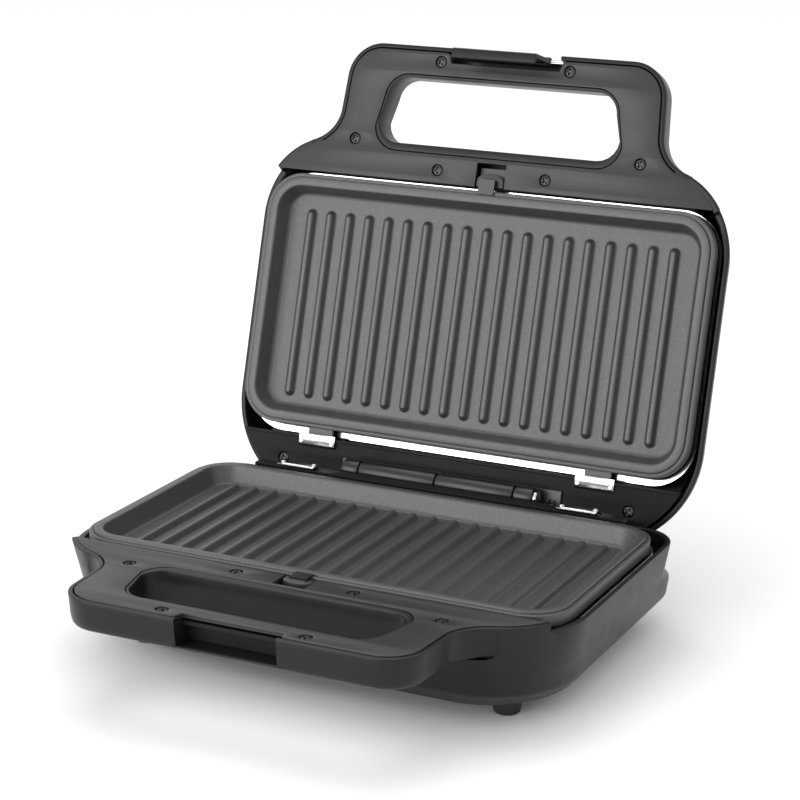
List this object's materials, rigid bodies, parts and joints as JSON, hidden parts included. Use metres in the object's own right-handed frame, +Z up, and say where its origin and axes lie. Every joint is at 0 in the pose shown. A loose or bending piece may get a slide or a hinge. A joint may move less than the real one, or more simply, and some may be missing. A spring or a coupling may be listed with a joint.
{
  "type": "panini press",
  "caption": "Hinged contact grill with two ribbed non-stick plates, loop handles, a front latch and release buttons.",
  "frame": {"origin": "centre of the footprint of the open press, on the surface that it stands on", "axes": "+X along the hinge, +Y from the handle towards the hinge, +Z up"},
  "size_m": [0.3, 0.3534, 0.3082],
  "materials": {
    "shell_black": "satin",
    "cover_grey": "satin",
    "coating": "non-stick coated",
    "bright_steel": "bright",
    "heater_steel": "oxidised",
    "rubber": "matt",
    "button_grey": "satin",
    "insulator": "matt",
    "lens_red": "clear",
    "lens_green": "clear"
  },
  "bodies": {
    "base": {"base_housing": "shell_black", "base_handle_cover": "cover_grey", "base_cover_screw_1": "bright_steel", "base_cover_screw_2": "bright_steel", "base_cover_screw_3": "bright_steel", "base_cover_screw_4": "bright_steel", "base_cover_screw_5": "bright_steel", "base_cover_screw_6": "bright_steel", "base_reflector": "bright_steel", "base_element": "heater_steel", "base_plate_clip_left": "bright_steel", "base_plate_clip_right": "bright_steel", "base_rear_strip": "shell_black", "base_strip_screw_left": "bright_steel", "base_strip_screw_right": "bright_steel", "thermostat": "insulator", "thermal_fuse": "insulator", "terminal_block": "insulator", "hinge_bracket": "shell_black", "hinge_pin": "bright_steel", "foot_front_left": "rubber", "foot_front_right": "rubber", "foot_rear_left": "rubber", "foot_rear_right": "rubber", "cord_gland": "rubber"},
    "base_grill": {"base_plate": "coating"},
    "base_button": {"base_release_button": "button_grey", "base_catch_tongue": "shell_black"},
    "lid": {"lid_housing": "shell_black", "lid_handle_cover": "cover_grey", "lid_cover_screw_1": "bright_steel", "lid_cover_screw_2": "bright_steel", "lid_cover_screw_3": "bright_steel", "lid_cover_screw_4": "bright_steel", "lid_cover_screw_5": "bright_steel", "lid_cover_screw_6": "bright_steel", "lid_reflector": "bright_steel", "lid_element": "heater_steel", "lid_plate_clip_left": "bright_steel", "lid_plate_clip_right": "bright_steel", "lid_rear_strip": "shell_black", "lid_strip_screw_left": "bright_steel", "lid_strip_screw_right": "bright_steel", "lid_hinge_left": "shell_black", "lid_hinge_right": "shell_black", "hinge_screw": "bright_steel", "latch_pin": "bright_steel", "power_lens": "lens_red", "ready_lens": "lens_green"},
    "lid_grill": {"lid_plate": "coating"},
    "lid_button": {"lid_release_button": "button_grey", "lid_catch_tongue": "shell_black"},
    "latch_flap": {"latch": "shell_black"}
  },
  "joints": [
    {"name": "lid_hinge", "type": "hinge", "parent": "base", "child": "lid", "pos_m": [0, 0.07957, 0.06177], "axis": [-1, 0, 0], "range_deg": [-106.4, 0]},
    {"name": "latch_pivot", "type": "hinge", "parent": "lid", "child": "latch_flap", "pos_m": [0, 0.16432, 0.30004], "axis": [-1, 0, 0], "range_deg": [-10, 25]},
    {"name": "base_plate_tilt", "type": "hinge", "parent": "base", "child": "base_grill", "pos_m": [0, 0.06007, 0.0602], "axis": [-1, 0, 0], "range_deg": [0, 25], "deforming": ["base_catch_tongue"]},
    {"name": "lid_plate_tilt", "type": "hinge", "parent": "lid", "child": "lid_grill", "pos_m": [0, 0.09623, 0.07719], "axis": [1, 0, 0], "range_deg": [0, 25], "deforming": ["lid_catch_tongue"]},
    {"name": "base_button_slide", "type": "slide", "parent": "base", "child": "base_button", "axis": [0, -1, 0], "range_m": [0, 0.004], "stiffness_N_per_m": 800},
    {"name": "lid_button_slide", "type": "slide", "parent": "lid", "child": "lid_button", "axis": [0, 0.2823, 0.9593], "range_m": [0, 0.004], "stiffness_N_per_m": 800}
  ]
}
